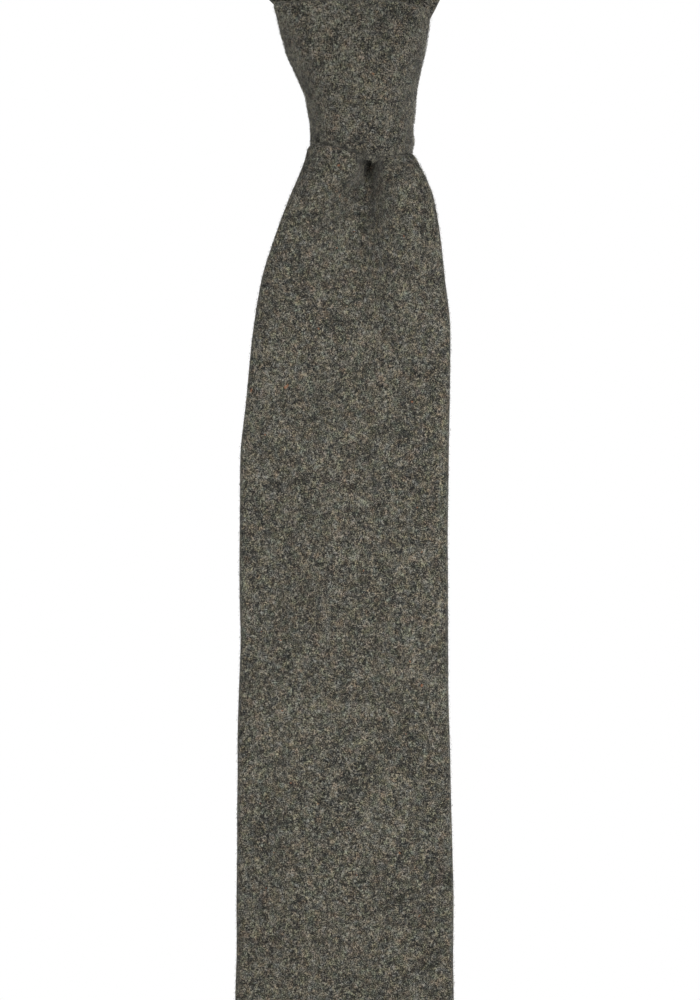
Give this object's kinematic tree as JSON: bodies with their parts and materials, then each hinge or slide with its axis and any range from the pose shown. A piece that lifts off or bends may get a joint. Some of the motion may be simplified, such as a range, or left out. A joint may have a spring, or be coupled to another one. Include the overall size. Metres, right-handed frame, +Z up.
{
  "type": "necktie",
  "caption": "Skinny necktie of wool flannel, tied in a four-in-hand knot with a dimple, its blade hanging in front of the tail",
  "frame": {"origin": "the middle of the neck hole, level with the sides of the neck band", "axes": "+Z up, along the hanging blade; -Y to the front, where the knot is; +X to the viewer's right"},
  "size_m": [0.1362, 0.1712, 0.5408],
  "materials": {
    "wide_blade": "milled wool flannel, grey with an olive cast",
    "narrow_tail": "milled wool flannel, grey with an olive cast",
    "knot_wrap": "milled wool flannel, grey with an olive cast",
    "knot_strap": "milled wool flannel, grey with an olive cast",
    "neck_band": "milled wool flannel, grey with an olive cast",
    "keeper_loop": "milled wool flannel, grey with an olive cast"
  },
  "bodies": {
    "root": {"wide_blade": "wide_blade", "narrow_tail": "narrow_tail", "knot_wrap": "knot_wrap", "knot_strap": "knot_strap", "neck_band": "neck_band", "keeper_loop": "keeper_loop"}
  },
  "joints": []
}
